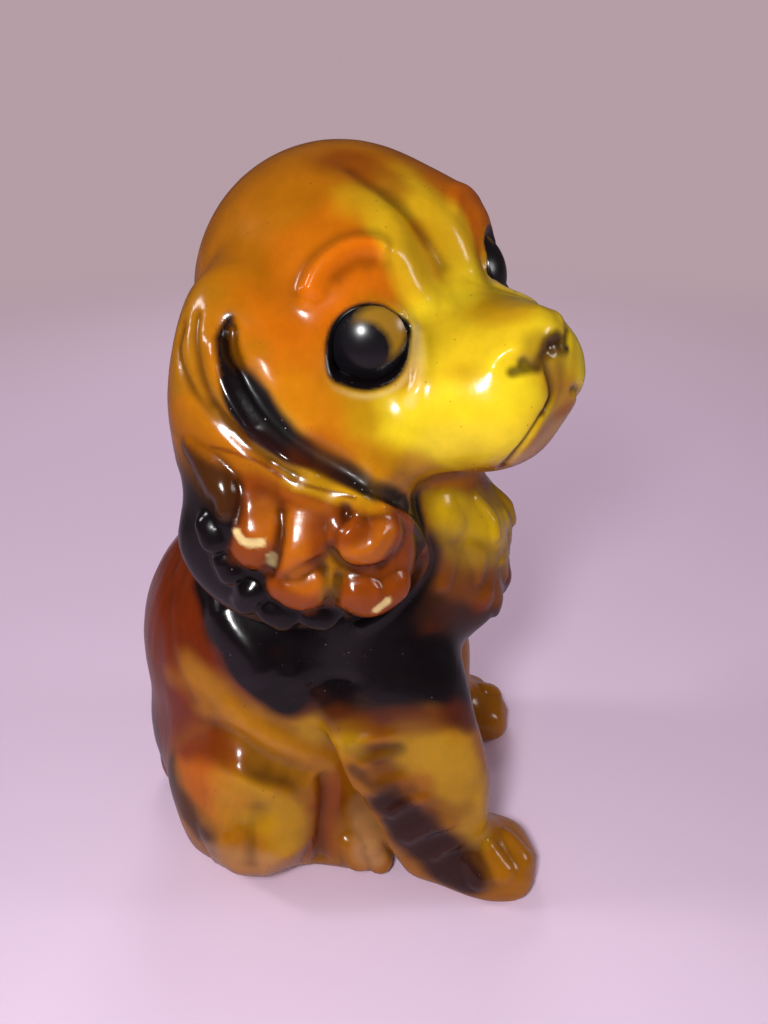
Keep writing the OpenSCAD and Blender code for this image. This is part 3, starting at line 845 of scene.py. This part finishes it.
locks(strands)
ridges(both_flanks, (2.0, 0.9, ((492, 585), (480, 610))))
coats(both_flanks, torso,
      (BLACK, (3, 4, 4, 3), 3.5, 1.0, ((214, 585), (230, 628), (262, 675), (292, 698))),
      (BLACK, 6, 4, 1.0, ((240, 560), (300, 620), (400, 600))),
      (BLACK, (4, 6, 7), 6, 1.0, ((300, 660), (380, 668), (490, 668))))
spray(BLACK, laid((-22, -24, 50), (-10, -33, 52), (0, -35, 52), (10, -33, 52), (22, -24, 50)), 5, 6, 1.0, torso)
spray(tint(150, 92, 16), laid((0, -32, 4), (0, -34, 16), (0, -34, 28)), 8, 6, 0.9, torso)
spray(BROWN, laid((-16, -30, 40), (0, -35, 39), (16, -30, 40)), 1, 5, 0.6, torso)
STRAW = tint(150, 113, 10)
spray(STRAW, laid((-14, -26, 80), (0, -32, 78), (14, -26, 80)), 4, 7, 0.9, torso)
coats(both_flanks, torso,
      # Plum down the rear edge of the back is painted shade.
      (PLUM, 1.0, 4, 0.7, ((152, 715), (158, 745), (165, 785))),
      (STRAW, 4, 5, 1.0, ((440, 500), (470, 530), (508, 540))),
      (tint(194, 156, 14), 2, 3, 0.8, ((448, 510), (480, 520), (505, 530))),
      (tint(112, 62, 14), 1.5, 6, 0.8, ((425, 570), (460, 590), (495, 590))),
      (tint(48, 24, 12), 1.5, 4, 0.9, ((428, 608), (455, 618), (485, 620))),
      (BLACK, 1.5, 4, 0.9, ((285, 690), (330, 700), (372, 704))),
      (BROWN, 1.0, 4, 0.7, ((335, 722), (400, 724), (482, 714))))
# Black along the edge of the ear on the body is a painted shadow under the ear.
spray(BLACK, traced((395, 505), (428, 540), (430, 570), (405, 605), (360, 640), (300, 650)), 0.8, 2.5, 0.9, torso)
for path in (laid((-22, 6, 99), (-18, 14, 96)), laid((22, 4, 99), (18, 14, 96))):
    spray(BROWN, path, 1.5, 5.5, 0.6)
# Plum low across the rump is painted shade.
spray(PLUM, laid((-20, 36, 20), (0, 42, 18), (20, 36, 20)), 1.0, 7, 0.6, torso)

# The colour is darkened in what lies deep and lightened on what stands out: partly glaze that pools and thins, partly
# painted shade in the hollows and painted light on the rises.
RELIEF_SHADE_DEPTH = 0.3
clay.rub(1)
clay.face_out()
level = clay.spots.copy()
for _ in range(30):
    level += 0.5 * (clay.mean_around(level) - level)
relief = np.einsum("ij,ij->i", clay.spots - level, clay.facing)
pooled_and_shade = ramp(-relief, RELIEF_SHADE_DEPTH)[:, None]
thinned_and_lit = ramp(relief, RELIEF_SHADE_DEPTH)[:, None]
glaze *= 1 - (0.6 - 0.25 * torso[:, None]) * pooled_and_shade + 0.15 * thinned_and_lit
clay.back_to(model.data)
sprayed = KDTree(clay.count)
for index, spot in enumerate((clay.spots * MM).tolist()):
    sprayed.insert(spot, index)
sprayed.balance()


# Castings: the clay model is cut at the mould joints, each piece is closed at its joint and takes its glaze.
# The body is what is left. Its hollow opens through the vent in the base, and the eye sockets are sunk into the head.
# The glaze is an amber lacquer over the sprayed colours, mottled, pinholed, and specked with dust where it is dark.
PINHOLE = (0.06, 0.025, 0.01, 1)
SPECK = (0.5, 0.45, 0.42, 1)


def mixed(wire, share, first, second, way="MIX"):
    return wire.node("ShaderNodeMix", {"data_type": "RGBA", "blend_type": way}, output=2,
                     _0=share, _6=first, _7=second)


def glazed(name):
    material = bpy.data.materials.new(name)
    material.use_nodes = True
    tree = material.node_tree
    shader = tree.nodes["Principled BSDF"]
    wire = Wire(tree)
    colour = wire.node("ShaderNodeAttribute", {"attribute_name": "glaze"})
    matt = wire.node("ShaderNodeAttribute", {"attribute_name": "dull"}, output="Fac")
    place = wire.node("ShaderNodeTexCoord", output="Object")
    cloud = wire.node("ShaderNodeTexNoise", Vector=place, Scale=170.0, Detail=3.0)
    grain = wire.node("ShaderNodeTexNoise", Vector=place, Scale=900.0, Detail=2.0)
    pins = wire.node("ShaderNodeTexVoronoi", Vector=place, Scale=420.0) < 0.3 * cloud - 0.1
    mottled = mixed(wire, 1.0, colour, 0.72 + 0.45 * cloud + 0.12 * grain, "MULTIPLY")
    bright = wire.node("ShaderNodeSeparateColor", {"mode": "HSV"}, output=2, Color=colour)
    specks = (wire.node("ShaderNodeTexVoronoi", Vector=place, Scale=560.0) < 0.11 * grain - 0.02 + 0.08 * matt) * (
        bright < 0.05)
    pitted = mixed(wire, pins * 0.5, mottled, PINHOLE)
    specked = mixed(wire, specks * 0.7, pitted, SPECK)
    bump = wire.node("ShaderNodeBump", Height=cloud * 0.4 + grain * 0.15 - pins * 0.4, Strength=0.25, Distance=0.0006)
    specked.into(shader, "Base Color")
    (0.15 + 0.12 * cloud + 0.45 * matt).into(shader, "Roughness")
    (0.15 - 0.15 * matt).into(shader, "Coat Weight")
    bump.into(shader, "Normal")
    shader.inputs["Coat Roughness"].default_value = 0.06
    shader.inputs["IOR"].default_value = 1.38
    return material


def mould(joint):
    bpy.ops.object.select_all(action="DESELECT")
    bpy.ops.mesh.primitive_cube_add(size=0.4, location=(0, 0, 0.1))
    block = bpy.context.object
    bpy.ops.object.mode_set(mode="EDIT")
    for normal, spot in joint:
        bpy.ops.mesh.select_all(action="SELECT")
        bpy.ops.mesh.bisect(plane_co=[c * MM for c in spot], plane_no=normal, use_fill=True, clear_inner=True)
    bpy.ops.object.mode_set(mode="OBJECT")
    return block


def cut(piece, block, operation):
    modified(piece, "BOOLEAN", operation=operation, solver="MANIFOLD", object=block)


def finished(piece, name):
    piece.name = name
    mesh = piece.data
    found = [sprayed.find(v.co)[1] for v in mesh.vertices]
    opaque = np.column_stack([glaze, np.ones(clay.count)])
    for layer, kind, field, values in (("glaze", "FLOAT_COLOR", "color", opaque), ("dull", "FLOAT", "value", dull)):
        attribute = mesh.attributes.new(layer, kind, "POINT")
        attribute.data.foreach_set(field, values[found].astype(np.float32).ravel())
    mesh.materials.clear()
    mesh.materials.append(glazed(name + "_glaze"))
    only(piece)
    bpy.ops.object.shade_smooth_by_angle(angle=math.radians(60))
    corners = np.empty(len(mesh.loops), np.int32)
    mesh.loops.foreach_get("vertex_index", corners)
    flat = np.empty(len(mesh.polygons) * 3, np.float32)
    mesh.polygons.foreach_get("normal", flat)
    sides = np.empty(len(mesh.polygons), np.int32)
    mesh.polygons.foreach_get("loop_total", sides)
    flat = np.repeat(flat.reshape(-1, 3), sides, axis=0)
    smooth = clay.facing[np.array(found)[corners]]
    skin_side = np.einsum("ij,ij->i", flat, smooth) > 0.5
    mesh.normals_split_custom_set(np.where(skin_side[:, None], smooth, flat).tolist())
    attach(piece, "root")
    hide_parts(name)


def bead_shape(eye, scale):
    back, axis, top, inner = eye
    bpy.ops.object.select_all(action="DESELECT")
    bpy.ops.mesh.primitive_uv_sphere_add(segments=64, ring_count=96, radius=DOME_R * MM)
    bead = bpy.context.object
    bpy.ops.object.mode_set(mode="EDIT")
    bpy.ops.mesh.select_all(action="SELECT")
    bpy.ops.mesh.bisect(plane_co=(0, 0, (DOME_R - DOME) * MM), plane_no=(0, 0, 1), use_fill=True, clear_inner=True)
    bpy.ops.mesh.select_all(action="DESELECT")
    bpy.ops.object.mode_set(mode="OBJECT")
    for face in bead.data.polygons:
        face.select = face.normal.z < -0.9
    bpy.ops.object.mode_set(mode="EDIT")
    bpy.ops.mesh.extrude_region_move(TRANSFORM_OT_translate={"value": (0, 0, (DOME - BEAD_H) * MM)})
    bpy.ops.object.mode_set(mode="OBJECT")
    middle = Vector((0, 0, (DOME_R - BEAD_H / 2) * MM))
    bead.matrix_world = (Matrix.Translation((back + BEAD_H / 2 * axis) * MM) @ Matrix(
        np.column_stack([np.cross(top, axis), top, axis]).tolist()).to_4x4()
        @ Matrix.Scale(scale, 4) @ Matrix.Translation(-middle))
    bpy.ops.object.transform_apply()
    return bead


SOCKET_ROOM = 1.015
for name, (joint, slot) in castings.items():
    block = mould(joint)
    only(model)
    bpy.ops.object.duplicate()
    piece = bpy.context.object
    cut(piece, block, "INTERSECT")
    cut(model, block, "DIFFERENCE")
    bpy.data.objects.remove(block)
    if name == "head":
        for eye in eyes.values():
            socket = bead_shape(eye, SOCKET_ROOM)
            cut(piece, socket, "DIFFERENCE")
            bpy.data.objects.remove(socket)
    finished(piece, name)

bpy.ops.object.select_all(action="DESELECT")
bpy.ops.mesh.primitive_cylinder_add(vertices=48, radius=VENT_R * MM, depth=20 * MM, location=(0, VENT_Y * MM, 0))
vent = bpy.context.object
cut(model, vent, "DIFFERENCE")
bpy.data.objects.remove(vent)
finished(model, "body")


# Eyes: domed beads with a hard black glaze, pushed into their sockets. The pupil sits low and outward,
# and an olive iris shows above it.
EYE_BLACK = (0.006, 0.005, 0.007, 1)
IRIS_OLIVE = (0.29, 0.15, 0.011, 1)
for name, eye in eyes.items():
    back, axis, top, inner = eye
    aside = inner if name == "right_eye" else -inner
    bead = bead_shape(eye, 1.0)
    bead.name = name
    only(bead)
    bpy.ops.object.shade_smooth_by_angle(angle=math.radians(40))
    looks = bpy.data.materials.new(name + "_glaze")
    looks.use_nodes = True
    shader = looks.node_tree.nodes["Principled BSDF"]
    wire = Wire(looks.node_tree)
    place = wire.node("ShaderNodeTexCoord", output="Object")
    front = back + BEAD_H * axis
    pupil = wire.node("ShaderNodeVectorMath", {"operation": "DISTANCE"}, output="Value", _0=place,
                      _1=tuple((front - 1.5 * aside - 0.5 * top) * MM))
    corner = wire.node("ShaderNodeVectorMath", {"operation": "DISTANCE"}, output="Value", _0=place,
                       _1=tuple((front + 2.6 * aside + 1.6 * top) * MM))
    flecks = wire.node("ShaderNodeTexNoise", Vector=place, Scale=700.0, Detail=3.0)
    round_pupil = wire.node("ShaderNodeMapRange", Value=pupil * (1 / MM) + 0.6 * flecks, _1=4.5, _2=5.9)
    round_corner = wire.node("ShaderNodeMapRange", Value=corner * (1 / MM) + 0.5 * flecks,
                             _1=4.0, _2=6.0, _3=1.0, _4=0.0)
    mixed(wire, round_pupil * round_corner, EYE_BLACK, IRIS_OLIVE).into(shader, "Base Color")
    (0.2 + 0.1 * flecks).into(shader, "Roughness")
    bead.data.materials.append(looks)
    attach(bead, "root")
    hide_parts(name)
